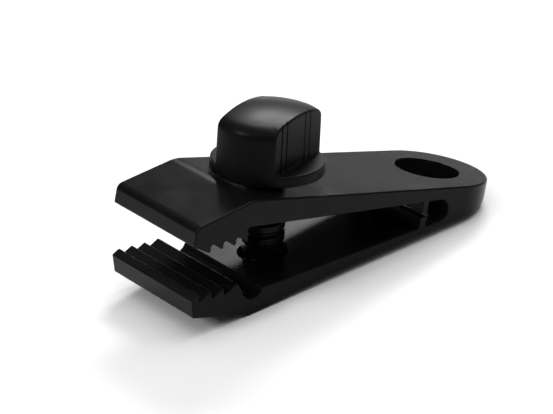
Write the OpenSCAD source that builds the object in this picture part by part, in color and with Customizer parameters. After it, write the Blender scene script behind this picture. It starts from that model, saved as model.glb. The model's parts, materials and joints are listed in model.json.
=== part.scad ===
// Screw-down tarp clip: a moulded spring V with toothed jaws and a rope eye,
// drawn together by a thumb screw that runs in a swivelling nut.
// Millimetres. The jaws point to -X, the rope eye lies at the origin, +Z is up,
// and the clip stands on the belly of its lower jaw and the rear edge of its eye.

/* [Rope eye] */
// Diameter of the hole for the rope or hook
eye_bore_d = 16; // [10:0.5:18]
// Wall round the hole
eye_wall = 6.4; // [5:0.1:9]
// How far the outer round lies behind the hole's centre
eye_shift = 0.8; // [0:0.1:2]
// Height of the eye at its rear edge
eye_rear_h = 5.6; // [4.5:0.1:7]
// Centre of the round end of the slot, ahead of the hole's centre
slot_u = 6.9; // [6.5:0.1:7.5]

/* [Arms] */
// Hole's centre to the tip of the upper nose
jaw_reach = 80; // [78:0.5:90]
// Width across the jaws
jaw_w = 32.4; // [30:0.2:40]
// Hole's centre to the line where both arms flex
flex_u = 9.3; // [9:0.1:10]
// Depth of the lower arm's flex line below the top face
flex_depth = 11.1; // [10.5:0.1:13]
// Angle from the top face to the belly of the lower arm, clip open
arm_spread = 17.35; // [16.5:0.05:20]
// Thickness of the upper arm at the flex line
upper_flex_t = 3.15; // [2.6:0.05:3.6]
// Thickness of the upper arm at its heel, behind the teeth
upper_heel_t = 6.5; // [6:0.1:7.2]
// Thickness of the lower arm at the flex line
lower_flex_t = 1.85; // [1.6:0.05:2.2]
// Thickness of the lower arm at its gutter
lower_gutter_t = 4.6; // [4.2:0.1:5]
// Distance from the hole's centre to the stop ribs
rib_u = 11.6; // [11.4:0.1:13]
// Length of a stop rib along the arm
rib_l = 1.7; // [1.4:0.1:2]
// Gap between the two stop ribs, clip open
rib_gap = 1.1; // [0.8:0.05:1.3]

/* [Upper jaw] */
// Length of the nose, from its tip to the bend in the top face
nose_l = 15.2; // [13.5:0.1:18]
// Rounding of that bend
bend_r = 3.5; // [1:0.1:5]
// Rounding of the nose's top edge
nose_r = 2; // [0.5:0.1:2.5]
// Drop of the nose's top edge below the top face
nose_drop = 5.9; // [5:0.1:7]
// Height of the nose's front face
nose_face_h = 4.5; // [4:0.1:5]
// Tip of the nose to the last upper tooth
upper_tooth_back = 15.4; // [14.8:0.1:15.8]
// Depth of the last upper tooth's tip below the top face
upper_tip_depth = 10.1; // [9.5:0.1:10.6]
// Slope of the upper row of teeth
upper_row_slope = 10.2; // [8:0.1:11]
// Tip of the nose to the heel behind the last upper tooth
heel_back = 14.5; // [14.1:0.1:14.9]

/* [Lower jaw] */
// Flex line to the place where the belly starts to swell
knee_v = 30.5; // [20:0.5:45]
// Upper reach less the length of the lower arm from its flex line
lower_short = 10.6; // [7:0.1:12]
// Length of the lower jaw, from its front face to the bend under it
lower_nose_l = 15.5; // [13.5:0.1:17.4]
// Swell of the belly at that bend
belly_sag = 1; // [0.6:0.1:2]
// Height of the lower edge of that face above the belly line
lower_nose_low = 4.4; // [3.5:0.1:5]
// Height of the upper edge of that face above the belly line
lower_nose_high = 8.9; // [8:0.1:9.2]
// Front face of the lower jaw to the last lower tooth
lower_tooth_back = 12.9; // [12.5:0.1:13.3]
// Height of the last lower tooth's tip above the belly line
lower_tip_h = 8.5; // [8:0.1:9]
// Slope of the lower row of teeth
lower_row_slope = 7.7; // [6:0.1:9]
// Forward lean of the back of a lower tooth
lower_tooth_hook = 0.7; // [0.2:0.1:1]
// Front face of the lower jaw to the middle of the gutter behind the teeth
gutter_back = 17.2; // [17:0.1:17.4]
// Radius of the gutter
gutter_r = 3.2; // [2.8:0.1:3.3]
// Height of the gutter's centre above the belly line
gutter_h = 6.1; // [5.9:0.1:6.3]

/* [Teeth] */
// Teeth in each row
tooth_n = 4; // [3:1:4]
// Distance from tooth to tooth
tooth_pitch = 3.5; // [3.2:0.1:3.6]
// Depth of a tooth
tooth_depth = 2.3; // [1.6:0.1:2.5]

/* [Thumb screw] */
// Tip of the nose to the screw's axis in the top face
screw_back = 30.6; // [28:0.1:35]
// Forward lean of the screw against the upper arm
screw_lean = 7.9; // [7:0.1:10]
// Outer diameter of the thread
thread_d = 10; // [8:0.1:11]
// Depth of the thread
thread_depth = 0.75; // [0.5:0.05:1]
// Advance of the thread in one turn
thread_pitch = 3; // [2:0.1:4]
// Diameter of the spigot inside the knob
spigot_d = 7; // [5:0.1:8]
// Length of the spigot
spigot_l = 7.5; // [5:0.1:10]
// Diameter of the knob's flange
flange_d = 27; // [26.9:0.1:29]
// Height of the flange
flange_h = 2.7; // [2:0.1:4]
// Diameter over the grip's round ends, at the flange
grip_d = 26.8; // [24:0.1:26.8]
// Width across the grip's flats, at the flange
grip_w = 15.7; // [12:0.1:18]
// Height of the grip at its rim
grip_h = 10.5; // [9:0.1:14]
// Rise of the grip's crown above its rim
grip_crown = 2.2; // [0.8:0.1:3]
// Rounding of the rim over the grip's round ends
grip_round = 1.4; // [0.5:0.1:2.5]
// Rounding of the rim over its flats
flat_round = 0.6; // [0.3:0.1:2]
// Draft of the grip's sides
grip_draft = 0.6; // [0:0.1:4]
// Turn of the grip against the clip's length, clip open
grip_turn = 24.2; // [0:0.1:180]
// Width of a rib on the grip's flats
grip_rib_w = 2; // [1:0.1:3]
// Height of such a rib
grip_rib_h = 0.5; // [0.3:0.05:0.8]
// Distance between the two ribs of one flat
grip_rib_gap = 11.3; // [8:0.1:13]

/* [Swivel nut] */
// Length of the nut along the arm
nut_l = 13.4; // [12.8:0.1:15]
// Width of the nut between its pins
nut_w = 14; // [13:0.1:17]
// Height of the nut above its pins
nut_up = 1.6; // [1.4:0.05:1.7]
// Depth of the nut below its pins
nut_down = 1.9; // [1.5:0.1:2]
// Diameter of the nut's two pins
pin_d = 3; // [2.6:0.1:3.2]
// Length of each pin
pin_l = 4; // [3:0.1:5]
// Height of the pins above the belly line
pin_h = 0.8; // [0.6:0.05:0.9]

/* [Fits] */
// Gap across the flex lines
flex_gap = 0.06; // [0.03:0.01:0.1]
// Closing angle of the upper arm that the flex line leaves free
upper_close = 2.1; // [1:0.1:4]
// Closing angle of the lower arm that the flex line leaves free
lower_close = 6.3; // [4:0.1:8]
// Gap between the flange's front edge and the top face
flange_gap = 0.05; // [0.02:0.01:0.2]
// Gap round the screw in the upper arm
hole_gap = 0.5; // [0.3:0.05:1]
// Gap round the thread in the nut
thread_gap = 0.3; // [0.25:0.05:0.4]
// Gap round the spigot in the knob
spigot_gap = 0.05; // [0.02:0.01:0.1]
// Gap between a pin and the top of its cradle
seat_gap = 0.08; // [0.05:0.01:0.15]
// Gap beside a pin in its cradle
cradle_gap = 0.6; // [0.55:0.05:0.8]
// Slide of the nut along the lower arm as the clip closes
nut_slide = 0.8; // [0.7:0.05:0.9]
// Gap round the nut in its pocket
pocket_gap = 0.6; // [0.5:0.05:0.8]
// Gap over the nut in its pocket
roof_gap = 0.2; // [0.1:0.05:0.3]
// Gap round the screw where it passes the lower arm
pass_gap = 1; // [0.8:0.05:1.2]

/* [Hidden] */
$fn = 96;

black_plastic = "#1b1c1e";
deep_black = "#141416";
// Points round the thread's section, and slices in one turn of it
screw_points = 18;
screw_slices = 16;
nut_points = 24;
nut_slices = 24;
// Shares of one turn taken by the thread's crest and by each flank
crest_share = 0.46;
flank_share = 0.2;
// Steps in a rounded corner
round_steps = 6;
// Extra reach of cutting and trimming shapes
over = 5;
// Sinking of a rib into the wall that carries it
root_sink = 0.6;
// Spare angle in the relief of a flex line
spare_angle = 0.4;

eye_r = eye_bore_d / 2;
eye_outer_r = eye_r + eye_wall;
rear_x = eye_shift + eye_outer_r;
span = jaw_w + over;
upper_bend_u = jaw_reach - nose_l;
upper_tooth_u = jaw_reach - upper_tooth_back;
heel_u = jaw_reach - heel_back;
screw_u = jaw_reach - screw_back;
lower_nose_v = jaw_reach - lower_short;
lower_bend_v = lower_nose_v - lower_nose_l;
lower_tooth_v = lower_nose_v - lower_tooth_back;
gutter_v = lower_nose_v - gutter_back;
thread_r = thread_d / 2;
flange_r = flange_d / 2;
pin_r = pin_d / 2;
pin_reach = nut_w / 2 + pin_l;

// Depth of the upper arm's inner face at distance u from the eye
function upper_in(u) = upper_flex_t + (u - flex_u) * (upper_heel_t - upper_flex_t) / (heel_u - flex_u);
// Height of the lower arm's inner face above its belly line
gutter_edge_v = gutter_v - gutter_r;
function lower_in(v) = lower_flex_t + v * (lower_gutter_t - lower_flex_t) / gutter_edge_v;
// Point of the lower arm's own plane, [v, h], in the plane of the upper arm
function from_lower(p) = [
    -flex_u - p[0] * cos(arm_spread) - p[1] * sin(arm_spread),
    -flex_depth - p[0] * sin(arm_spread) + p[1] * cos(arm_spread)
];
// Point of the upper arm's plane, [x, z], in the lower arm's own plane
function to_lower(p) = [
    -(p[0] + flex_u) * cos(arm_spread) - (p[1] + flex_depth) * sin(arm_spread),
    -(p[0] + flex_u) * sin(arm_spread) + (p[1] + flex_depth) * cos(arm_spread)
];
// Depth of the lower arm's inner face below the top face, at distance u from the eye
lower_in_0 = from_lower([0, lower_in(0)]);
lower_in_1 = from_lower([gutter_edge_v, lower_in(gutter_edge_v)]);
lower_in_slope = (lower_in_0[1] - lower_in_1[1]) / (lower_in_0[0] - lower_in_1[0]);
function lower_in_depth(u) = -lower_in_0[1] + (u + lower_in_0[0]) * lower_in_slope;

// Slot end: a round that meets both inner faces
slot_top = upper_in(slot_u);
slot_bottom = lower_in_depth(slot_u);
slot_r = (slot_bottom - slot_top) / 2;

// Belly line at the rear, and the pitch at which the clip stands on its belly
belly_bend = from_lower([lower_bend_v, -belly_sag]);
rest_pitch = atan2(-eye_rear_h - belly_bend[1], rear_x - belly_bend[0]);
eye_under = [-slot_u, -flex_depth + (flex_u - slot_u) * tan(arm_spread)];
eye_mid = (flex_depth - flex_u * tan(arm_spread)) / 2;

// Screw: the flange's front edge rests on the top face
flange_lift = flange_r * tan(screw_lean) + flange_gap / cos(screw_lean);
axis_top = to_lower([-screw_u, 0]);
axis_foot = to_lower([-screw_u + sin(screw_lean), -cos(screw_lean)]);
axis_step = axis_foot - axis_top;
pin_drop = (pin_h - axis_top[1]) / axis_step[1];
pin_v = axis_top[0] + pin_drop * axis_step[0];
nut_z = -(flange_lift + pin_drop);
// Turn of the nut against the lower arm, clip open
nut_tilt = arm_spread - screw_lean;
// The screw ends where its rear edge is level with the nut's underside
screw_l = -nut_z + nut_down - thread_r * tan(nut_tilt);
pocket_half = nut_l / 2 + nut_down * sin(nut_tilt) + pocket_gap;
// Middle of the nut's pocket and cradles, half-way along that slide
seat_v = pin_v - nut_slide / 2;

// Stop ribs meet half-way between the two inner faces
rib_mid = (upper_in(rib_u) + lower_in_depth(rib_u)) / 2;

// Tip of tooth i of a row, counted from the nose
function upper_tip(i) =
    let (ahead = (tooth_n - 1 - i) * tooth_pitch)
    [-upper_tooth_u - ahead, -upper_tip_depth - ahead * tan(upper_row_slope)];
function lower_tip(i) =
    let (ahead = (tooth_n - 1 - i) * tooth_pitch)
    [-lower_tooth_v - ahead, lower_tip_h + ahead * tan(lower_row_slope)];

// Corner b of an outline between points a and c, rounded to radius r
function rounded(a, b, c, r) =
    let (
        u = (a - b) / norm(a - b),
        v = (c - b) / norm(c - b),
        half = acos(u * v) / 2,
        middle = b + (u + v) / norm(u + v) * r / sin(half),
        first = b + u * r / tan(half) - middle,
        last = b + v * r / tan(half) - middle,
        turn = 180 - 2 * half
    )
    [
        for (i = [0 : round_steps])
            let (t = i / round_steps)
            middle + (first * sin((1 - t) * turn) + last * sin(t * turn)) / sin(turn)
    ];

// Radius of the thread at share t of a turn: crest, flank, root, flank
function thread_profile(t) =
    t < crest_share ? 1
    : t < crest_share + flank_share ? 1 - (t - crest_share) / flank_share
    : t < 1 - flank_share ? 0
    : (t - 1 + flank_share) / flank_share;

// Stands the clip on its belly, with the middle of the rope eye at the origin
module stand() {
    rotate([0, rest_pitch, 0])
        translate([0, 0, eye_mid])
            children();
}

module place_lower() {
    translate([-flex_u, 0, -flex_depth])
        rotate([0, -arm_spread, 0])
            children();
}

// Frame of the screw: z = 0 at the underside of the flange, the thread below it
module place_screw() {
    translate([-screw_u, 0, 0])
        rotate([0, -screw_lean, 0])
            translate([0, 0, flange_lift])
                children();
}

// Side outline carried across the width of the clip
module across(points, width = span) {
    rotate([90, 0, 0])
        linear_extrude(height = width, center = true)
            polygon(points);
}

// Outline of the clip from above: straight tapering sides and a round rear end
module plan() {
    height = jaw_reach;
    translate([0, 0, -height])
        linear_extrude(height = height + over)
            polygon([
                [-jaw_reach - over, -jaw_w / 2],
                [-jaw_reach, -jaw_w / 2],
                [eye_shift, -eye_outer_r],
                [eye_shift, eye_outer_r],
                [-jaw_reach, jaw_w / 2],
                [-jaw_reach - over, jaw_w / 2]
            ]);
    translate([eye_shift, 0, -height])
        cylinder(h = height + over, r = eye_outer_r);
}

// Stop rib between two depths below the top face
module stop_rib(from_depth, to_depth) {
    translate([-rib_u - rib_l / 2, -span / 2, -to_depth])
        cube([rib_l, span, to_depth - from_depth]);
}

// Threaded rod from height z0 to z1, grown by a gap
module thread(z0, z1, gap, points, slices) {
    height = z1 - z0;
    turns = height / thread_pitch;
    translate([0, 0, z0])
        rotate([0, 0, 360 * z0 / thread_pitch])
            linear_extrude(height = height, twist = -360 * turns, slices = ceil(turns * slices), $fn = points)
                polygon([
                    for (i = [0 : points - 1])
                        (thread_r + gap - thread_depth * (1 - thread_profile(i / points)))
                            * [cos(360 * i / points), sin(360 * i / points)]
                ]);
}

// Rear block: the rope eye and the end of the slot
module eye_end() {
    color(black_plastic) stand() difference() {
        intersection() {
            across([
                [-flex_u, 0],
                [rear_x, 0],
                [rear_x, -eye_rear_h],
                eye_under,
                [-flex_u, -flex_depth]
            ]);
            plan();
        }
        translate([0, 0, -jaw_reach])
            cylinder(h = jaw_reach + over, r = eye_r);
        across([
            [-flex_u - over, -upper_in(flex_u + over)],
            [-slot_u, -slot_top],
            [-slot_u, -slot_bottom],
            [-flex_u - over, -lower_in_depth(flex_u + over)]
        ], span + over);
        translate([-slot_u, 0, -slot_top - slot_r])
            rotate([90, 0, 0])
                cylinder(h = span + over, r = slot_r, center = true);
    }
}

// Upper arm with its toothed nose, a stop rib and the oval hole for the screw
module upper_arm() {
    relief = upper_flex_t * tan(upper_close + spare_angle);
    start = -flex_u - flex_gap;
    hole_r = thread_r + hole_gap;
    hole_end = screw_u - upper_in(screw_u) * tan(screw_lean);
    bend = [-upper_bend_u, 0];
    nose_top = [-jaw_reach, -nose_drop];
    nose_foot = [-jaw_reach, -nose_drop - nose_face_h];
    color(black_plastic) stand() difference() {
        intersection() {
            union() {
                across(concat(
                    [[start, 0]],
                    rounded([start, 0], bend, nose_top, bend_r),
                    rounded(bend, nose_top, nose_foot, nose_r),
                    [nose_foot],
                    [
                        for (i = [0 : tooth_n - 2], step = [0, tooth_depth])
                            upper_tip(i) + [0, step]
                    ],
                    [
                        upper_tip(tooth_n - 1),
                        [-heel_u, -upper_heel_t],
                        [start - relief, -upper_flex_t]
                    ]
                ));
                stop_rib(upper_in(rib_u) - root_sink, rib_mid - rib_gap / 2);
            }
            plan();
        }
        for (u = [screw_u, hole_end])
            translate([-u, 0, -jaw_reach])
                cylinder(h = jaw_reach + over, r = hole_r);
        translate([-screw_u, -hole_r, -jaw_reach])
            cube([screw_u - hole_end, 2 * hole_r, jaw_reach + over]);
    }
}

// Lower arm with its toothed nose, gutter, stop rib, the pocket and cradles of the nut
// under it, and a hole for the screw
module lower_arm() {
    relief = lower_flex_t * tan(lower_close + spare_angle);
    cradle_half = pin_r + cradle_gap;
    cradle_top = pin_h + pin_r + seat_gap;
    cradle_w = 2 * (pin_reach + pocket_gap);
    pocket_w = nut_w + 2 * pocket_gap;
    pocket_top = pin_h + nut_up + roof_gap;
    last_tip = lower_tip(tooth_n - 1);
    color(black_plastic) stand() difference() {
        intersection() {
            union() {
                place_lower()
                    difference() {
                        across(concat(
                            [
                                [-flex_gap, 0],
                                [-knee_v, 0],
                                [-lower_bend_v, -belly_sag],
                                [-lower_nose_v, lower_nose_low],
                                [-lower_nose_v, lower_nose_high]
                            ],
                            [
                                for (i = [0 : tooth_n - 2], step = [0, 1])
                                    lower_tip(i) + step * [-lower_tooth_hook, -tooth_depth]
                            ],
                            [
                                last_tip,
                                [-gutter_v - gutter_r, gutter_h],
                                [-gutter_edge_v, lower_gutter_t],
                                [-flex_gap - relief, lower_in(0)]
                            ]
                        ));
                        translate([-gutter_v, 0, gutter_h])
                            rotate([90, 0, 0])
                                cylinder(h = span + over, r = gutter_r, center = true);
                    }
                stop_rib(rib_mid + rib_gap / 2, lower_in_depth(rib_u) + root_sink);
            }
            plan();
        }
        place_lower() {
            translate([-seat_v - pocket_half, -pocket_w / 2, -over])
                cube([2 * pocket_half, pocket_w, over + pocket_top]);
            translate([-seat_v - cradle_half, -cradle_w / 2, -over])
                cube([2 * cradle_half, cradle_w, over + cradle_top]);
            translate([-seat_v + nut_slide / 4, 0, 0])
                cylinder(h = 2 * over, r = thread_r + pass_gap);
        }
    }
}

// Rim of rounding r between a wall at distance w from the knob's axis and the crown above it
function rim_arc(w, r, crown_r, top_z) =
    [
        for (i = [0 : round_steps])
            let (
                t = 90 * i / round_steps,
                out = w - r * (1 - cos(t)),
                crown = top_z - crown_r + sqrt(crown_r * crown_r - out * out)
            )
            [out, crown - r * (1 - sin(t))]
    ];

// Knob: a round flange and a crowned bar grip with two ribs on each flat
module knob() {
    grip_r = grip_d / 2;
    inset = grip_h * tan(grip_draft);
    rim_r = grip_r - inset;
    crown_r = (rim_r * rim_r + grip_crown * grip_crown) / (2 * grip_crown);
    rim_z = flange_h + grip_h;
    top_z = rim_z + grip_crown;
    half_w = grip_w / 2;
    flat_w = half_w - inset;
    color(black_plastic) stand() place_screw() rotate([0, 0, grip_turn]) difference() {
        union() {
            cylinder(h = flange_h, r = flange_r);
            intersection() {
                rotate_extrude()
                    polygon(concat(
                        [[0, 0], [grip_r, 0]],
                        rim_arc(rim_r, grip_round, crown_r, top_z),
                        [[rim_r - grip_round, top_z + over], [0, top_z + over]]
                    ));
                union() {
                    rotate([90, 0, 90])
                        linear_extrude(height = grip_d + over, center = true)
                            polygon(concat(
                                [[-half_w, 0], [half_w, 0]],
                                rim_arc(flat_w, flat_round, crown_r, top_z),
                                [
                                    for (i = [round_steps : -1 : 0])
                                        let (p = rim_arc(flat_w, flat_round, crown_r, top_z)[i])
                                        [-p[0], p[1]]
                                ]
                            ));
                    for (x = [-grip_rib_gap / 2, grip_rib_gap / 2], side = [-1, 1])
                        translate([x, side * flat_w, rim_z / 2])
                            cube([grip_rib_w, 2 * (inset + grip_rib_h), rim_z], center = true);
                }
                translate([0, 0, top_z - crown_r])
                    sphere(r = crown_r);
            }
        }
        translate([0, 0, -over])
            cylinder(h = over + spigot_l + spigot_gap, r = spigot_d / 2 + spigot_gap);
    }
}

// Screw: coarse right-hand thread with a spigot that sits in the knob
module screw() {
    color(deep_black) stand() place_screw() {
        thread(-screw_l, 0, 0, screw_points, screw_slices);
        translate([0, 0, -root_sink])
            cylinder(h = spigot_l + root_sink, d = spigot_d);
    }
}

// Nut: a threaded block that swivels on two pins in the lower arm, bevelled above
// its front half and below its rear half, so that it clears the pocket's roof
module swivel_nut() {
    half_l = nut_l / 2;
    bevel = half_l * tan(nut_tilt);
    color(deep_black) stand() place_screw() difference() {
        translate([0, 0, nut_z]) {
            across([
                [-half_l, -nut_down],
                [0, -nut_down],
                [half_l, bevel - nut_down],
                [half_l, nut_up],
                [0, nut_up],
                [-half_l, nut_up - bevel]
            ], nut_w);
            rotate([90, 0, 0])
                cylinder(h = 2 * pin_reach, r = pin_r, center = true);
        }
        thread(nut_z - nut_down - root_sink, nut_z + nut_up + root_sink, thread_gap, nut_points, nut_slices);
    }
}

eye_end();
upper_arm();
lower_arm();
knob();
screw();
swivel_nut();
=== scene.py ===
"""Dresses a screw-down tarp clip: one black moulding that bends, a thumb screw and a swivel nut.

Lengths are in metres. The arms are worked out in the plate frame, where z = 0 is the upper arm's
top face, x = y = 0 is the axis of the rope eye and the jaws point to -x; on_part() turns that
frame into the part's own. The screw frame has z = 0 under the knob's flange and z up its axis.
"""

import json
import math

import bmesh
import bpy
import numpy as np
from bpy.props import FloatProperty, FloatVectorProperty, PointerProperty
from mathutils import Matrix, Vector


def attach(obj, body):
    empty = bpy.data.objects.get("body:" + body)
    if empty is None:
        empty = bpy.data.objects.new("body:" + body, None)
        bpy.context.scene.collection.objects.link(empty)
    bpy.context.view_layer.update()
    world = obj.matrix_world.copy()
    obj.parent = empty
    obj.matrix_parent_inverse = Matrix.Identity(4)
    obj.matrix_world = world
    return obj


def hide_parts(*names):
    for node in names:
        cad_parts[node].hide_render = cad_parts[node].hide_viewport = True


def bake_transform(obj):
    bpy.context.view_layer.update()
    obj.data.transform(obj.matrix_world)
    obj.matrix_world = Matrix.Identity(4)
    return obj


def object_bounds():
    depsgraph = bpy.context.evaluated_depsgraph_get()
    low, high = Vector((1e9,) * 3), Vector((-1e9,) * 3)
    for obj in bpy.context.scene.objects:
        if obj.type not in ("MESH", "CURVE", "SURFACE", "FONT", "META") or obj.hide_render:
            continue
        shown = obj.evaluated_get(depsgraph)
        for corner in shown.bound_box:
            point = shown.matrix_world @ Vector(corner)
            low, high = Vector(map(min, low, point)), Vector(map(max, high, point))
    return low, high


bl_info = {
    "name": "Tarp Clip",
    "version": (1, 0, 0),
    "blender": (4, 5, 0),
    "location": "View3D > Sidebar > Tarp Clip",
    "description": "Builds the moulding, thumb screw, nut and studio of a screw-down tarp clip",
    "category": "Object",
}

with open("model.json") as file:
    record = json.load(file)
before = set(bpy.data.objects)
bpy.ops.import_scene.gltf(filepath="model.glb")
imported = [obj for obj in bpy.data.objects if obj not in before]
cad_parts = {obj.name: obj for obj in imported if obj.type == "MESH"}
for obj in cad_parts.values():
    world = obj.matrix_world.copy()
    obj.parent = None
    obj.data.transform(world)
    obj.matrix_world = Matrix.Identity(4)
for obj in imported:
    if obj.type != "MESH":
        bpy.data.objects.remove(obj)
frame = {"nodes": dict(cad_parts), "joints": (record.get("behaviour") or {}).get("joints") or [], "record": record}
CAD_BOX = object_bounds()
MM = 0.001

# Teeth in a row
TEETH = 4

# Points that stand for a curve
CORNER_STEPS = 7
POCKET_CORNER_STEPS = 4
SLOT_STEPS = 13
GUTTER_STEPS = 9
REAR_STEPS = 33
RIM_STEPS = 7
PASS_RIM_STEPS = 6
HOLE_STEPS = 96
KNOB_STEPS = 720
KNOB_WALL_ROWS = 8
CROWN_RINGS = 14
SCREW_STEPS = 96
SCREW_ROWS = 281
NUT_STEPS = 192
NUT_BORE_ROWS = 49
NUT_EDGE_STEPS = 6
PIN_STEPS = 48

# Share of the side rounding that a stretch of the moulding's outline has
LIP_EDGE = 0.9
SLOT_EDGE = 0.8
HEEL_EDGE = 0.7
FOOT_EDGE = 0.6
GUTTER_EDGE = 0.5
RIB_EDGE = 0.2

# Share of the tooth rounding that the sides of an upper tip have
TIP_EDGE = 0.8

# Most of a side that one rounding may take
HALF_SIDE = 0.49

# How far a cutter stands clear of the faces that it cuts
CLEAR = 4 * MM

# Angle at which a flared rim stops, short of square so that the cutter's wall crosses the face
RIM_END = math.radians(80)

# Seam of the two mouldings, ahead of the eye
SEAM_U = 8 * MM

# Slant of the lower stop rib's end as a share of the upper one's
LOWER_SLANT = 0.7

# How far the screw pass's cutter starts below the pocket's roof and ends above the inner face
PASS_SINK = 0.5 * MM
PASS_CLEAR = 3 * MM

# Matt part of the slot's end: its reach in slot radii, and how far it stays off the sides
MATT_REACH = 1.1
MATT_MARGIN = 1 * MM

# Most of the ledge beside a flat that the flange's lip and the grip's heel take
LIP_SHARE = 0.45
HEEL_SHARE = 0.3

# Share of a groove's width that each of its walls takes
GROOVE_WALL = 0.3

# Shares of the thread's pitch that its crest and each flank take
THREAD_CREST = 0.46
THREAD_FLANK = 0.2

# Powers that set how sharp the soft corners of the grip, its rim and the nut are
GRIP_SHARPNESS = 110
FLAT_SHARPNESS = 40
NUT_SHARPNESS = 18

# Angles past which an edge of a piece is crisp
MOULDING_CRISP = math.radians(32)
THREAD_CRISP = math.radians(50)

# Features of the plastic per metre: clouds in the colour, patches of gloss and sink marks
CLOUD_SCALE = 160
PATCH_SCALE = 120
SINK_SCALE = 55

# Darkest and lightest cloud as shares of the colour, and the change of roughness, up or down
DARKEST = 0.8
LIGHTEST = 1.25
PATCHINESS = 0.03

# Values of a noise texture that are spread over a whole range
NOISE_LOW = 0.3
NOISE_HIGH = 0.7

# Strength and depth of the sink marks and of the mould's grain
SINK_MARKS = (0.15, 0.12 * MM)
FINE_GRAIN = (0.06, 0.01 * MM)

# Sines of the heights between which the surround brightens
WALL_TOP = 0.55
CEILING_EDGE = 0.9

# Half the floor's side, and the width of the camera's sensor in millimetres
FLOOR_HALF = 6.0
SENSOR_W = 36

# Soft panels: name, place, width, height and watts
PANELS = (
    ("back_panel", (0.92, 0.88, 0.856), 0.58, 0.28, 15),
    ("top_panel", (0.45, -0.05, 1.3), 0.7, 0.7, 4),
    ("left_panel", (-1.08, 0.17, 0.72), 0.3, 0.3, 5),
)


def named(rows, name):
    """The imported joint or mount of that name."""
    return next(row for row in rows if row["name"] == name)


EYE_AXIS = np.array(named(frame["record"]["mounts"], "rope_eye")["axis"])
SCREW_JOINT = named(frame["joints"], "screw_turn")
SCREW_FOOT = np.array(SCREW_JOINT["pos_m"])
SCREW_UP = -np.array(SCREW_JOINT["axis"])
SCREW_LEAN = math.acos(SCREW_UP @ EYE_AXIS)


def number(name, description, default, **rest):
    """A number property."""
    return FloatProperty(name=name, description=description, default=default, **rest)


def length(name, description, millimetres):
    """A size property, given in millimetres and kept in metres."""
    return number(name, description, millimetres * MM, unit="LENGTH", precision=5)


def rounding(where, millimetres):
    """A size property for the rounding of that place."""
    return length(where.capitalize(), "Rounding of the " + where, millimetres)


def share(name, description, default, top=1.0):
    """A plain factor from 0 to top."""
    return number(name, description, default, subtype="FACTOR", min=0.0, max=top)


def angle(name, description, degrees):
    """An angle property, given in degrees."""
    return number(name, description, math.radians(degrees), subtype="ANGLE")


def tone(name, description, default):
    """A linear colour property."""
    limits = {"size": 3, "min": 0.0, "max": 1.0}
    return FloatVectorProperty(name=name, description=description, default=default, subtype="COLOR", **limits)


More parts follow.
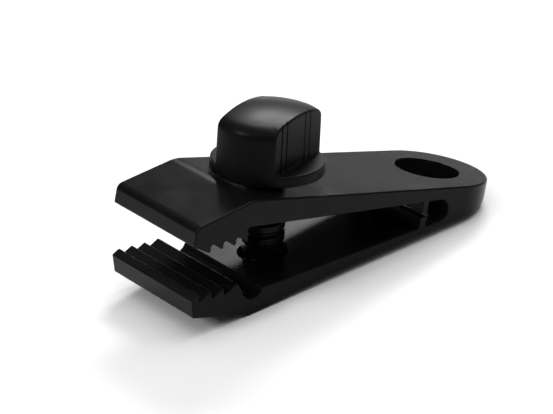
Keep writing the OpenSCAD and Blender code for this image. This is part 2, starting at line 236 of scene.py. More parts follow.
class MouldingSizes(bpy.types.PropertyGroup):
    """Sizes of the bent moulding: eye, arms and jaws."""

    eye_r: length("Eye radius", "Radius of the rope eye", 8)
    eye_outer_r: length("Eye outside", "Radius of the round rear end", 14.4)
    eye_shift: length("Eye shift", "Rear end's centre behind the hole's", 0.8)
    eye_rear_h: length("Rear height", "Height of the eye at its rear edge", 5.6)
    slot_u: length("Slot end", "Centre of the slot's round end, ahead of the hole", 6.9)
    jaw_reach: length("Jaw reach", "Hole's centre to the upper nose", 80)
    jaw_w: length("Jaw width", "Width across the jaws", 32.4)
    flex_u: length("Flex line", "Hole's centre to the arms' flex line", 9.3)
    flex_depth: length("Flex depth", "Lower flex line below the top face", 11.1)
    arm_spread: angle("Arm spread", "Top face to belly, clip open", 17.35)
    upper_flex_t: length("Upper root", "Upper arm's thickness at the flex line", 3.15)
    upper_heel_t: length("Upper heel", "Upper arm's thickness behind its teeth", 6.5)
    lower_flex_t: length("Lower root", "Lower arm's thickness at the flex line", 1.85)
    lower_gutter_t: length("Gutter edge", "Lower arm's thickness at its gutter", 4.6)
    rib_u: length("Stop ribs", "Hole's centre to the stop ribs", 11.6)
    rib_l: length("Stop rib length", "Length of a stop rib along the arm", 1.7)
    rib_gap: length("Stop rib gap", "Gap between the stop ribs, clip open", 1.1)
    rib_slant: length("Upper rib slant", "Half the fall of the upper stop rib's end", 0.32)
    nose_l: length("Nose length", "Nose tip to the bend in the top face", 15.2)
    nose_drop: length("Nose drop", "Nose's top edge below the top face", 5.9)
    nose_face_h: length("Nose face", "Height of the nose's front face", 4.5)
    upper_tooth_back: length("Upper last tooth", "Nose tip to the last upper tooth", 15.4)
    upper_tip_depth: length("Upper tip depth", "Last upper tip below the top face", 10.1)
    upper_row_slope: angle("Upper row slope", "Slope of the upper row of teeth", 10.2)
    heel_back: length("Heel", "Nose tip to the heel behind the last tooth", 14.5)
    knee_v: length("Knee", "Flex line to where the belly starts to swell", 30.5)
    lower_short: length("Lower shortfall", "Upper reach less the lower arm's length", 10.6)
    lower_nose_l: length("Lower jaw length", "Lower front face to the bend under it", 15.5)
    belly_sag: length("Belly sag", "Swell of the belly at that bend", 1)
    lower_nose_low: length("Lower face foot", "Foot of the lower front face above the belly line", 4.4)
    lower_nose_high: length("Lower face top", "Top of the lower front face above the belly line", 8.9)
    lower_tooth_back: length("Lower last tooth", "Lower front face to the last lower tooth", 12.9)
    lower_tip_h: length("Lower tip height", "Last lower tip above the belly line", 8.5)
    lower_row_slope: angle("Lower row slope", "Slope of the lower row of teeth", 7.7)
    lower_tooth_hook: length("Tooth hook", "Forward lean of a lower tooth's back", 0.7)
    gutter_back: length("Gutter", "Lower front face to the middle of the gutter", 17.2)
    gutter_r: length("Gutter radius", "Radius of the gutter", 3.2)
    gutter_h: length("Gutter height", "Gutter's centre above the belly line", 6.1)
    tooth_pitch: length("Tooth pitch", "Distance from tooth to tooth", 3.5)
    tooth_depth: length("Tooth depth", "Depth of a tooth", 2.3)
    screw_back: length("Screw hole", "Nose tip to the screw's axis in the top face", 30.6)
    hole_r: length("Hole radius", "Half width of the oval screw hole", 5.5)
    seat_v: length("Nut seat", "Flex line to the middle of the nut's pocket", 38.19)
    pass_r: length("Screw pass", "Radius of the hole for the screw in the lower arm", 6)
    pass_set: length("Screw pass set", "Screw pass behind the middle of the nut's pocket", 0.2)
    pocket_l: length("Pocket length", "Length of the nut's pocket", 15.22)
    pocket_w: length("Pocket width", "Width of the nut's pocket", 15.2)
    pocket_top: length("Pocket roof", "Roof of the pocket above the belly line", 2.6)
    cradle_l: length("Cradle length", "Length of the pins' cradles", 4.2)
    cradle_w: length("Cradle width", "Width over both cradles", 23.2)
    cradle_top: length("Cradle roof", "Roof of the cradles above the belly line", 2.38)


class MouldingRoundings(bpy.types.PropertyGroup):
    """Roundings of the bent moulding."""

    edge_r: rounding("edges along the sides", 0.45)
    bend_r: rounding("bend in the top face", 9)
    nose_r: rounding("nose's top edge", 2)
    lip_r: rounding("front faces' lower edges", 0.5)
    tip_r: rounding("upper teeth's tips and all teeth's sides", 0.28)
    hollow_r: rounding("upper teeth's hollows", 0.6)
    heel_r: rounding("heel behind the upper teeth", 0.8)
    rib_foot_r: rounding("stop ribs' feet", 0.5)
    rib_end_r: rounding("stop ribs' ends", 0.12)
    slot_r: rounding("slot's end between its points", 0.5)
    gutter_lip_r: rounding("gutter's rear lip", 0.4)
    gutter_r: rounding("gutter between its points", 1)
    lower_tip_r: rounding("lower teeth's tips", 0.3)
    lower_hollow_r: rounding("lower teeth's hollows and the lower face's top", 0.45)
    belly_r: rounding("bend under the lower jaw", 3)
    knee_r: rounding("belly where it starts to swell", 60)
    under_r: rounding("eye's underside where it meets the belly", 3)
    rear_r: rounding("rear end's lower edge", 2.4)
    eye_rim_r: rounding("rope eye's rims", 0.25)
    hole_rim_r: rounding("screw hole's rims", 0.4)
    pass_rim_r: rounding("screw pass's upper rim", 0.35)
    pocket_r: rounding("pocket's and cradles' upright corners", 0.5)


class ScrewSizes(bpy.types.PropertyGroup):
    """Sizes of the knob, the screw and its nut."""

    flange_r: length("Flange radius", "Radius of the knob's flange and of the grip's round ends", 13.5)
    flange_h: length("Flange height", "Height of the flange", 2.7)
    flange_low_r: rounding("flange's lower edge", 0.3)
    flange_lip_r: rounding("flange's upper edge beside the flats", 0.4)
    grip_heel_r: rounding("flats' feet on the flange", 0.25)
    grip_half_w: length("Grip half width", "Half width over the grip's flats at the flange", 7.85)
    grip_h: length("Grip height", "Height of the grip at its rim", 10.5)
    grip_crown: length("Crown", "Rise of the crown above the rim", 2.2)
    grip_round: rounding("rim over the grip's round ends", 2)
    flat_round: rounding("rim over the grip's flats", 0.5)
    grip_draft: angle("Draft", "Draft of the grip's sides", 0.6)
    grip_turn: angle("Grip turn", "Turn of the grip, clip open", 24.2)
    strip_w: length("Strip width", "Distance between a strip's two grooves", 2.4)
    strip_gap: length("Strip gap", "Distance between a flat's strips, middle to middle", 11.2)
    strip_shift: length("Strip shift", "Middle of a flat to the middle of its two strips", 1.3)
    groove_w: length("Groove width", "Width of the grooves that edge a strip", 0.5)
    groove_depth: length("Groove depth", "Depth of the grooves that edge a strip", 0.3)
    thread_r: length("Thread radius", "Outer radius of the thread", 5)
    thread_depth: length("Thread depth", "Depth of the thread", 0.75)
    thread_pitch: length("Thread pitch", "Advance of the thread in one turn", 3)
    end_bevel: length("End bevel", "Bevel at the screw's end", 0.9)
    nut_l: length("Nut length", "Length of the nut along the arm", 13.4)
    nut_w: length("Nut width", "Width of the nut between its pins", 14)
    nut_up: length("Nut height", "Height of the nut above its pins", 1.6)
    nut_down: length("Nut depth", "Depth of the nut below its pins", 1.9)
    nut_edge_r: rounding("nut's and its pins' edges", 0.35)
    pin_r: length("Pin radius", "Radius of the nut's pins", 1.5)
    pin_reach: length("Pin reach", "Screw's axis to the end of a pin", 11)
    pin_sink: length("Pin sink", "How far a pin is sunk in the nut's side", 1)
    thread_gap: length("Thread gap", "Gap round the thread in the nut", 0.3)


class Finishes(bpy.types.PropertyGroup):
    """Colours and surface of the plastics."""

    moulding_black: tone("Moulding", "Colour of the moulding", (0.0036, 0.0037, 0.004))
    knob_black: tone("Knob", "Colour of the knob", (0.0036, 0.0037, 0.004))
    screw_black: tone("Screw", "Colour of the screw and nut", (0.0034, 0.0034, 0.0038))
    moulding_rough: share("Moulding roughness", "Roughness of the moulding", 0.25)
    slot_rough: share("Slot roughness", "Roughness of the slot's round end", 0.7)
    knob_rough: share("Knob roughness", "Roughness of the knob", 0.36)
    screw_rough: share("Screw roughness", "Roughness of the screw and nut", 0.25)
    gloss: share("Gloss", "Specular level of the moulding, screw and nut", 0.09)
    knob_gloss: share("Knob gloss", "Specular level of the knob", 0.055)
    grain: length("Grain size", "Size of the mould's fine grain", 0.22)


class Studio(bpy.types.PropertyGroup):
    """Camera, floor and lights."""

    azimuth: angle("Azimuth", "Camera's bearing", -34.916)
    elevation: angle("Elevation", "Camera's height above the horizon", 26.290)
    roll: angle("Roll", "Camera's roll", -4.253)
    distance: length("Distance", "Camera to the point it looks at", 705.531)
    aim: FloatVectorProperty(
        name="Aim",
        description="Point the camera looks at",
        default=(-0.0370805, 0.0100185, 0.0031657),
        unit="LENGTH",
    )
    lens: number("Lens", "Focal length in millimetres", 192.216, unit="CAMERA")
    floor_white: tone("Floor", "Colour of the floor", (0.93, 0.93, 0.93))
    wall_light: share("Walls", "Strength of the surround near the floor", 0.12, 4.0)
    ceiling_light: share("Ceiling", "Strength of the surround overhead", 1.12, 4.0)


def on_part(points):
    """Plate frame to the part's: lifted by half the eye's height and turned about y to the eye's axis."""
    s = bpy.context.scene.moulding_sizes
    x, y, z = np.moveaxis(points, -1, 0)
    z = z + (s.flex_depth - s.flex_u * math.tan(s.arm_spread)) / 2
    return np.stack([x * EYE_AXIS[2] + z * EYE_AXIS[0], y, z * EYE_AXIS[2] - x * EYE_AXIS[0]], -1)


def on_screw(points):
    """Screw frame to the part's: the flange's foot plus steps along the axis and square to it."""
    across = np.array([SCREW_UP[2], 0.0, -SCREW_UP[0]])
    side = np.array([0.0, 1.0, 0.0])
    return SCREW_FOOT + points[..., :1] * across + points[..., 1:2] * side + points[..., 2:] * SCREW_UP


def axis_low(node):
    """Lowest point of a CAD node along the screw's axis, from the flange's foot."""
    mesh = frame["nodes"][node].data
    co = np.empty(len(mesh.vertices) * 3)
    mesh.vertices.foreach_get("co", co)
    return ((co.reshape(-1, 3) - SCREW_FOOT) @ SCREW_UP).min()


def full_turn(steps):
    """Angles of a full turn in equal steps, its end left out."""
    return np.linspace(0, 2 * math.pi, steps + 1)[:-1]


def s_curve(x):
    """0 below 0, 1 above 1 and an S between them."""
    x = np.clip(x, 0, 1)
    return x * x * (3 - 2 * x)


def turned(radius, bearing, height):
    """Points at a distance from the z axis, a bearing and a height."""
    return np.stack([radius * np.cos(bearing), radius * np.sin(bearing), height], -1)


def grid_quads(rows, cols, wrap=False):
    """Corners of the quads of a rows by cols grid, joined end to start along its columns if wrap."""
    r = np.arange(rows - 1)[:, None]
    c = np.arange(cols if wrap else cols - 1)[None, :]
    n = (c + 1) % cols
    return np.stack([r * cols + c, r * cols + n, (r + 1) * cols + n, (r + 1) * cols + c], -1).reshape(-1, 4)


def solid(name, parts):
    """One mesh object from (points, faces) parts: welded, without collapsed faces, facing outwards."""
    points, faces, start = [], [], 0
    for co, corners in parts:
        points.append(co.reshape(-1, 3))
        faces += (np.asarray(corners) + start).tolist()
        start += len(points[-1])
    mesh = bpy.data.meshes.new(name)
    mesh.from_pydata(np.concatenate(points).tolist(), [], faces)
    work = bmesh.new()
    work.from_mesh(mesh)
    bmesh.ops.remove_doubles(work, verts=work.verts, dist=1e-7)
    bmesh.ops.dissolve_degenerate(work, edges=work.edges, dist=1e-8)
    bmesh.ops.recalc_face_normals(work, faces=work.faces)
    work.to_mesh(mesh)
    work.free()
    piece = bpy.data.objects.new(name, mesh)
    bpy.context.scene.collection.objects.link(piece)
    return piece


def wound(name, grids):
    """One mesh object from grids of rings in the screw frame."""
    return solid(name, [(on_screw(g), grid_quads(len(g), g.shape[1], True)) for g in grids])


def capped(name, points):
    """Closed tube through a grid of rings, with one face over each end."""
    rows, cols = points.shape[:2]
    ring = np.arange(cols)
    caps = np.stack([ring, (rows - 1) * cols + ring[::-1]])
    return solid(name, [(points, grid_quads(rows, cols, True)), (points, caps)])


def cut_away(piece, cutters):
    """Takes the cutters' solids out of a piece and removes the cutters."""
    for cutter in cutters:
        step = piece.modifiers.new(cutter.name, "BOOLEAN")
        step.operation = "DIFFERENCE"
        step.solver = "EXACT"
        step.object = cutter
    bpy.context.view_layer.update()
    seen = piece.evaluated_get(bpy.context.evaluated_depsgraph_get())
    plain = piece.data
    piece.data = bpy.data.meshes.new_from_object(seen)
    piece.modifiers.clear()
    piece.data.name = piece.name
    bpy.data.meshes.remove(plain)
    for cutter in cutters:
        bpy.data.meshes.remove(cutter.data)


def finish_piece(piece, material, crisp=MOULDING_CRISP):
    """Smooth shading with crisp edges past an angle, wide faces kept flat, and the piece's finish."""
    piece.data.materials.clear()
    piece.data.materials.append(material)
    piece.data.shade_smooth()
    piece.data.set_sharp_from_angle(angle=crisp)
    even = piece.modifiers.new("even_normals", "WEIGHTED_NORMAL")
    even.keep_sharp = True
    even.weight = 80


def joined(stretches):
    """Corners, roundings and edge radii of a whole outline, from its (corners, rounding, edge) stretches."""
    corners = [np.reshape(c, (-1, 2)) for c, _, _ in stretches]
    radii = [np.broadcast_to(r, len(c)) for c, (_, r, _) in zip(corners, stretches)]
    edges = [np.broadcast_to(e, len(c)) for c, (_, _, e) in zip(corners, stretches)]
    return np.concatenate(corners), np.concatenate(radii), np.concatenate(edges)


def rounded(p, radii, edges, steps=CORNER_STEPS):
    """Open outline through corners p with its inner corners rounded.

    Each corner gives way to an arc of its radius that touches both sides, never past half a side.
    Returns the points, their outward normals (the right hand of the way) and the edge radius there.
    """
    side = np.diff(p, axis=0)
    run = np.linalg.norm(side, axis=1)
    way = side / run[:, None]
    back, ahead = -way[:-1], way[1:]
    half = np.arccos(np.clip((back * ahead).sum(1), -1, 1)) / 2
    touch = np.minimum(radii[1:-1] / np.tan(half), HALF_SIDE * np.minimum(run[:-1], run[1:]))
    turn = np.maximum(math.pi - 2 * half, 1e-6)
    t = np.linspace(0, 1, steps)
    lead = (np.sin((1 - t)[None, :] * turn[:, None]) / np.sin(turn)[:, None])[..., None]
    trail = (np.sin(t[None, :] * turn[:, None]) / np.sin(turn)[:, None])[..., None]
    inward = (back + ahead) / np.maximum(np.linalg.norm(back + ahead, axis=1), 1e-9)[:, None]
    centre = p[1:-1] + inward * (touch / np.cos(half))[:, None]
    first = p[1:-1] + back * touch[:, None] - centre
    last = p[1:-1] + ahead * touch[:, None] - centre
    arcs = centre[:, None] + first[:, None] * lead + last[:, None] * trail
    right = np.stack([way[:, 1], -way[:, 0]], 1)
    normals = right[:-1, None] * lead + right[1:, None] * trail
    points = np.concatenate([p[:1], arcs.reshape(-1, 2), p[-1:]])
    normals = np.concatenate([right[:1], normals.reshape(-1, 2), right[-1:]])
    edge = np.concatenate([edges[:1], np.repeat(edges[1:-1], steps), edges[-1:]])
    return points, normals, edge


EDGE_TURN = np.linspace(0, math.pi / 2, CORNER_STEPS)


def half_width(x):
    """Half the clip's width at x: a straight taper from the jaws to the eye's round end."""
    s = bpy.context.scene.moulding_sizes
    taper = (s.jaw_w / 2 - s.eye_outer_r) / (s.jaw_reach + s.eye_shift)
    return s.eye_outer_r + (s.eye_shift - x) * taper


def both_sides(x, y, z):
    """Rows of points across the width, from -y to +y: an edge at +y after its mirror image."""
    far = np.stack([x, y, z], -1)
    return np.concatenate([far[:, ::-1] * (1, -1, 1), far], 1)


def carried_across(points, normals, edge):
    """Side outline carried across the width, from -y to +y, with rounded side edges.

    At turn t of an edge the outline shrinks by r (1 - cos t) and lies r (1 - sin t) inside the side.
    """
    r = edge[:, None]
    shrink = r * (1 - np.cos(EDGE_TURN))
    flat = points[:, None] - normals[:, None] * shrink[..., None]
    y = half_width(flat[..., 0]) - r * (1 - np.sin(EDGE_TURN))
    return both_sides(flat[..., 0], y, flat[..., 1])


def strip_and_sides(grids):
    """Faces of outlines carried across: a strip each, one face on each side round all, and the end seam."""
    cols = grids[0].shape[1]
    parts = [(g, grid_quads(len(g), cols)) for g in grids]
    ring = np.concatenate(grids)
    order = np.arange(len(ring)) * cols
    sides = np.stack([order, order[::-1] + cols - 1])
    seam = np.concatenate([grids[-1][-1:], grids[0][:1]])
    return parts + [(ring, sides), (seam, grid_quads(2, cols))]


class ClipOutline:
    """Side outlines of the moulding in the plate frame, worked out from its sizes and roundings."""

    def __init__(self, s, r):
        self.s, self.r = s, r
        self.lower_nose_v = s.jaw_reach - s.lower_short
        self.gutter_v = self.lower_nose_v - s.gutter_back
        self.gutter_edge_v = self.gutter_v - s.gutter_r
        self.heel_u = s.jaw_reach - s.heel_back
        self.rib_front, self.rib_rear = s.rib_u + s.rib_l / 2, s.rib_u - s.rib_l / 2
        self.rib_mid = (self.upper_in(s.rib_u) + self.lower_in_depth(s.rib_u)) / 2
        slot_top, slot_bottom = self.upper_in(s.slot_u), self.lower_in_depth(s.slot_u)
        self.slot_r = (slot_bottom - slot_top) / 2
        self.slot_z = -(slot_top + slot_bottom) / 2
        self.inner_seam = (-SEAM_U, -self.lower_in_depth(SEAM_U))
        self.belly_seam = (-SEAM_U, self.belly_z(SEAM_U))
        self.eye_under = (-s.slot_u, self.belly_z(s.slot_u))
        rear_x = s.eye_shift + s.eye_outer_r
        self.bottom_slope = (-s.eye_rear_h - self.eye_under[1]) / (rear_x - self.eye_under[0])

    def from_lower(self, v, h):
        """Point at v along and h above the lower arm's belly line, in the plate frame."""
        s = self.s
        c, d = math.cos(s.arm_spread), math.sin(s.arm_spread)
        return np.stack([-s.flex_u - v * c - h * d, -s.flex_depth - v * d + h * c], -1)

    def belly_z(self, u):
        """Height of the belly line at u ahead of the eye."""
        s = self.s
        return -s.flex_depth + (s.flex_u - u) * math.tan(s.arm_spread)

    def upper_in(self, u):
        """Depth of the upper arm's inner face at u ahead of the eye."""
        s = self.s
        slope = (s.upper_heel_t - s.upper_flex_t) / (self.heel_u - s.flex_u)
        return s.upper_flex_t + (u - s.flex_u) * slope

    def lower_in(self, v):
        """Height of the lower arm's inner face above its belly line at v."""
        s = self.s
        return s.lower_flex_t + v * (s.lower_gutter_t - s.lower_flex_t) / self.gutter_edge_v

    def lower_in_depth(self, u):
        """Depth of the lower arm's inner face below the top face at u ahead of the eye."""
        a = self.from_lower(0.0, self.lower_in(0.0))
        b = self.from_lower(self.gutter_edge_v, self.lower_in(self.gutter_edge_v))
        return -a[1] + (u + a[0]) * (a[1] - b[1]) / (a[0] - b[0])

    def bottom_z(self, x):
        """Height of the eye's underside at x."""
        return self.eye_under[1] + (x - self.eye_under[0]) * self.bottom_slope

    def eye_bottom(self):
        """Underside of the eye, from the lower seam back to where the rear end turns round."""
        s, r = self.s, self.r
        points, normals, edge = rounded(*joined([
            (self.belly_seam, 0, r.edge_r),
            (self.eye_under, r.under_r, r.edge_r),
            ((s.eye_shift, self.bottom_z(s.eye_shift)), 0, r.rear_r / 2),
        ]))
        normals[-1] = (0, -1)
        return points, normals, edge

    def upper(self):
        """Top face, nose, upper teeth, inner face with its stop rib and the slot's end, to the lower seam."""
        s, r = self.s, self.r
        e = r.edge_r
        ahead = np.arange(TEETH - 1, -1, -1) * s.tooth_pitch
        tip_x = s.upper_tooth_back - s.jaw_reach - ahead
        tip_z = -s.upper_tip_depth - ahead * math.tan(s.upper_row_slope)
        tips = np.stack([tip_x, tip_z], 1)
        teeth = np.stack([tips, tips + (0, s.tooth_depth)], 1).reshape(-1, 2)[:-1]
        tooth_r = np.tile([r.tip_r, r.hollow_r], TEETH)[:-1]
        tooth_e = np.tile([r.tip_r * TIP_EDGE, r.tip_r], TEETH)[:-1]
        front, rear = self.rib_front, self.rib_rear
        rib_z = -self.rib_mid + s.rib_gap / 2
        a = np.linspace(math.pi / 2, -math.pi / 2, SLOT_STEPS)
        slot = np.stack([-s.slot_u + self.slot_r * np.cos(a), self.slot_z + self.slot_r * np.sin(a)], 1)
        return rounded(*joined([
            ((s.eye_shift, 0), 0, e),
            ((s.nose_l - s.jaw_reach, 0), r.bend_r, e),
            ((-s.jaw_reach, -s.nose_drop), r.nose_r, e),
            ((-s.jaw_reach, -s.nose_drop - s.nose_face_h), r.lip_r, e * LIP_EDGE),
            (teeth, tooth_r, tooth_e),
            ((-self.heel_u, -s.upper_heel_t), r.heel_r, e * HEEL_EDGE),
            ((-front, -self.upper_in(front)), r.rib_foot_r, e * FOOT_EDGE),
            ([(-front, rib_z - s.rib_slant), (-rear, rib_z + s.rib_slant)], r.rib_end_r, e * RIB_EDGE),
            ((-rear, -self.upper_in(rear)), r.rib_foot_r, e * FOOT_EDGE),
            (slot, r.slot_r, e * SLOT_EDGE),
            (self.inner_seam, 0, e),
        ]))

    def lower(self):
        """Inner face of the lower arm with its stop rib, gutter, teeth, nose and belly, seam to seam."""
        s, r = self.s, self.r
        e, nose_v = r.edge_r, self.lower_nose_v
        front, rear = self.rib_front, self.rib_rear
        rib_z = -self.rib_mid - s.rib_gap / 2
        slant = LOWER_SLANT * s.rib_slant
        rib_end = [(-rear, rib_z + slant), (-front, rib_z - slant)]
        start = math.asin((s.gutter_h - self.lower_in(self.gutter_edge_v)) / s.gutter_r)
        a = np.linspace(math.pi + start, 2 * math.pi, GUTTER_STEPS)
        gutter = self.from_lower(self.gutter_v + s.gutter_r * np.cos(a), s.gutter_h + s.gutter_r * np.sin(a))
        ahead = np.arange(TEETH) * s.tooth_pitch
        tip_v = nose_v - s.lower_tooth_back + ahead
        tip_h = s.lower_tip_h + ahead * math.tan(s.lower_row_slope)
        tips = self.from_lower(tip_v, tip_h)
        hollows = self.from_lower(tip_v + s.lower_tooth_hook, tip_h - s.tooth_depth)
        teeth = np.stack([hollows, tips], 1).reshape(-1, 2)[1:]
        tooth_r = np.tile([r.lower_tip_r, r.lower_hollow_r], TEETH)[:-1]
        return rounded(*joined([
            (self.inner_seam, 0, e),
            ((-rear, -self.lower_in_depth(rear)), r.rib_foot_r, e * FOOT_EDGE),
            (rib_end, r.rib_end_r, e * RIB_EDGE),
            ((-front, -self.lower_in_depth(front)), r.rib_foot_r, e * FOOT_EDGE),
            (gutter[:1], r.gutter_lip_r, e * GUTTER_EDGE),
            (gutter[1:], r.gutter_r, e * GUTTER_EDGE),
            (teeth, tooth_r, r.tip_r),
            (self.from_lower(nose_v, s.lower_nose_high), r.lower_hollow_r, e * HEEL_EDGE),
            (self.from_lower(nose_v, s.lower_nose_low), r.lip_r, e),
            (self.from_lower(nose_v - s.lower_nose_l, -s.belly_sag), r.belly_r, e),
            (self.from_lower(s.knee_v, 0.0), r.knee_r, e),
            (self.belly_seam, 0, e),
        ]))


def rear_round(outline):
    """Rear end of the eye.

    At angle a of its half circle the top and the underside are lines across, joined by the wall.
    """
    s, r = outline.s, outline.r
    a = np.linspace(0, math.pi / 2, REAR_STEPS)[:, None]

    def level(edge, base, sign):
        reach = s.eye_outer_r - edge * (1 - np.sin(EDGE_TURN))
        x = s.eye_shift + reach * np.sin(a)
        y = reach * np.cos(a)
        z = base(x) + sign * edge * (1 - np.cos(EDGE_TURN))
        return both_sides(x, y, z)

    top = level(np.full_like(a, r.edge_r), np.zeros_like, -1)
    low = level(r.rear_r * (1 + np.sin(a)) / 2, outline.bottom_z, 1)
    return np.concatenate([top, low[:, ::-1]], 1)


def hole_cutter(name, ring, low, high, flare):
    """Closed cutter through a plate between heights low and high, flared to round both rims.

    ring gives each point's middle, its outward direction and its radius; at turn t of a rim the
    wall stands flare (1 - cos t) further out and flare (1 - sin t) inside the face.
    """
    middle, out, radius = ring
    t = np.linspace(0, RIM_END, RIM_STEPS)
    inside, beyond = flare * (1 - np.sin(t)), flare * (1 - np.cos(t))
    lift = np.concatenate([[-CLEAR], inside[::-1]])
    drop = np.concatenate([inside, [-CLEAR]])
    grow = np.concatenate([[flare], beyond[::-1], beyond, [flare]])
    z = np.concatenate([low + lift[:, None], high - drop[:, None]])
    xy = middle + out * (radius + grow)[:, None, None]
    return capped(name, on_part(np.concatenate([xy, z[..., None]], -1)))


def box_cutter(name, outline, box_l, box_w, top):
    """Closed block under the lower arm, round the nut's seat, with its upright corners rounded."""
    a, b = box_l / 2, box_w / 2
    corners = np.array([(-a, 0), (-a, -b), (a, -b), (a, b), (-a, b), (-a, 0)])
    radii = np.full(len(corners), outline.r.pocket_r)
    flat = rounded(corners, radii, np.zeros(len(corners)), POCKET_CORNER_STEPS)[0][:-1]
    h = np.array([-CLEAR, top])[:, None]
    plane = outline.from_lower(outline.s.seat_v + flat[:, 0] + 0 * h, h + 0 * flat[:, 0])
    y = np.broadcast_to(flat[:, 1], plane.shape[:2])
    return capped(name, on_part(np.stack([plane[..., 0], y, plane[..., 1]], -1)))


def pass_cutter(name, outline):
    """Closed round cutter square to the lower arm's belly, flared to round the hole's upper rim."""
    s, flare = outline.s, outline.r.pass_rim_r
    turn = full_turn(HOLE_STEPS)[None, :]
    t = np.linspace(0, RIM_END, PASS_RIM_STEPS)[:, None]
    grow = np.concatenate([[[0.0]], flare * (1 - np.cos(t)), [[flare]]])
    radius = s.pass_r + grow + 0 * turn
    v = s.seat_v - s.pass_set - radius * np.cos(turn)
    top = outline.lower_in(v)
    foot = np.full_like(turn, s.pocket_top - PASS_SINK)
    h = np.concatenate([foot, top[1:-1] - flare * (1 - np.sin(t)), top[-1:] + PASS_CLEAR])
    plane = outline.from_lower(v, h)
    return capped(name, on_part(np.stack([plane[..., 0], radius * np.sin(turn), plane[..., 1]], -1)))


def thread_radius(turn, z):
    """Radius of the thread at angle turn and height z: crest, S-shaped flank, root and flank per pitch."""
    k = bpy.context.scene.screw_sizes
    t = np.mod(turn / (2 * math.pi) - z / k.thread_pitch, 1.0)
    fall = s_curve((t - THREAD_CREST) / THREAD_FLANK)
    rise = s_curve((t - 1 + THREAD_FLANK) / THREAD_FLANK)
    return k.thread_r - k.thread_depth * (fall - rise)


def flat_share(turn):
    """How much of the grip's outline at that angle is its flats, from 0 on a round end to 1."""
    k = bpy.context.scene.screw_sizes
    ratio = (np.abs(np.sin(turn)) * k.flange_r / k.grip_half_w) ** FLAT_SHARPNESS
    return ratio / (1 + ratio)


def grip_radius(turn, inset):
    """Distance from the knob's axis to the grip's wall, drawn in by inset.

    It is a soft minimum of a circle and two flats. Each flat has two strips, edged by grooves whose
    walls are S-shaped.
    """
    k = bpy.context.scene.screw_sizes
    sine = np.maximum(np.abs(np.sin(turn)), 1e-4)
    along = k.grip_half_w * np.cos(turn) * np.sign(np.sin(turn)) / sine - k.strip_shift
    off = np.abs(np.abs(np.abs(along) - k.strip_gap / 2) - k.strip_w / 2)
    groove = k.groove_depth * s_curve((k.groove_w / 2 - off) / (GROOVE_WALL * k.groove_w))
    round_end = k.flange_r - inset
    flat = (k.grip_half_w - groove - inset) / sine
    return round_end * (1 + (round_end / flat) ** GRIP_SHARPNESS) ** (-1 / GRIP_SHARPNESS)


def preset(node, values):
    """Sets a node's inputs by name."""
    for name, value in values.items():
        node.inputs[name].default_value = value


def noise(tree, coords, scale, detail=1, low=0.0, high=1.0):
    """A noise texture at that scale, its middle values spread over low to high."""
    field = tree.nodes.new("ShaderNodeTexNoise")
    preset(field, {"Scale": scale, "Detail": detail})
    tree.links.new(coords, field.inputs["Vector"])
    spread = tree.nodes.new("ShaderNodeMapRange")
    preset(spread, {"From Min": NOISE_LOW, "From Max": NOISE_HIGH, "To Min": low, "To Max": high})
    tree.links.new(field.outputs["Fac"], spread.inputs["Value"])
    return spread.outputs["Result"]


def bump(tree, height, strength, depth):
    """A bump node over a field of heights."""
    node = tree.nodes.new("ShaderNodeBump")
    preset(node, {"Strength": strength, "Distance": depth})
    tree.links.new(height, node.inputs["Height"])
    return node


def moulded_plastic(name, black, rough, gloss):
    """Satin moulded plastic, made once: cloudy black, patchy gloss, fine mould grain and soft sink marks."""
    known = bpy.data.materials.get(name)
    if known:
        return known
    material = bpy.data.materials.new(name)
    material.use_nodes = True
    tree = material.node_tree
    shader = tree.nodes["Principled BSDF"]
    preset(shader, {"Specular IOR Level": gloss})
    coords = tree.nodes.new("ShaderNodeTexCoord").outputs["Object"]
    mix = tree.nodes.new("ShaderNodeMix")
    mix.data_type = "RGBA"
    preset(mix, {"A": (*(DARKEST * c for c in black), 1), "B": (*(LIGHTEST * c for c in black), 1)})
    tree.links.new(noise(tree, coords, CLOUD_SCALE, detail=4), mix.inputs["Factor"])
    tree.links.new(mix.outputs["Result"], shader.inputs["Base Color"])
    patches = noise(tree, coords, PATCH_SCALE, detail=2, low=rough - PATCHINESS, high=rough + PATCHINESS)
    tree.links.new(patches, shader.inputs["Roughness"])
    grain_scale = 1 / bpy.context.scene.finishes.grain
    sink = bump(tree, noise(tree, coords, SINK_SCALE), *SINK_MARKS)
    fine = bump(tree, noise(tree, coords, grain_scale), *FINE_GRAIN)
    tree.links.new(sink.outputs["Normal"], fine.inputs["Normal"])
    tree.links.new(fine.outputs["Normal"], shader.inputs["Normal"])
    return material


def moulding_plastic():
    """The moulding's finish."""
    f = bpy.context.scene.finishes
    return moulded_plastic("moulding_black", f.moulding_black, f.moulding_rough, f.gloss)


def screw_plastic():
    """The screw's and nut's finish."""
    f = bpy.context.scene.finishes
    return moulded_plastic("screw_black", f.screw_black, f.screw_rough, f.gloss)


def matt_slot(piece, outline):
    """Gives a matt finish to the faces whose middle lies near the slot's end and clear of the sides."""
    s, f = outline.s, bpy.context.scene.finishes
    reach, side = MATT_REACH * outline.slot_r, s.eye_outer_r - MATT_MARGIN
    middle = np.empty(len(piece.data.polygons) * 3)
    piece.data.polygons.foreach_get("center", middle)
    x, y, z = middle.reshape(-1, 3).T
    axis = on_part(np.array([-s.slot_u, 0, outline.slot_z]))
    inside = (np.hypot(x - axis[0], z - axis[2]) < reach) & (np.abs(y) < side)
    piece.data.materials.append(moulded_plastic("slot_black", f.moulding_black, f.slot_rough, f.gloss))
    piece.data.polygons.foreach_set("material_index", inside.astype(np.int32))


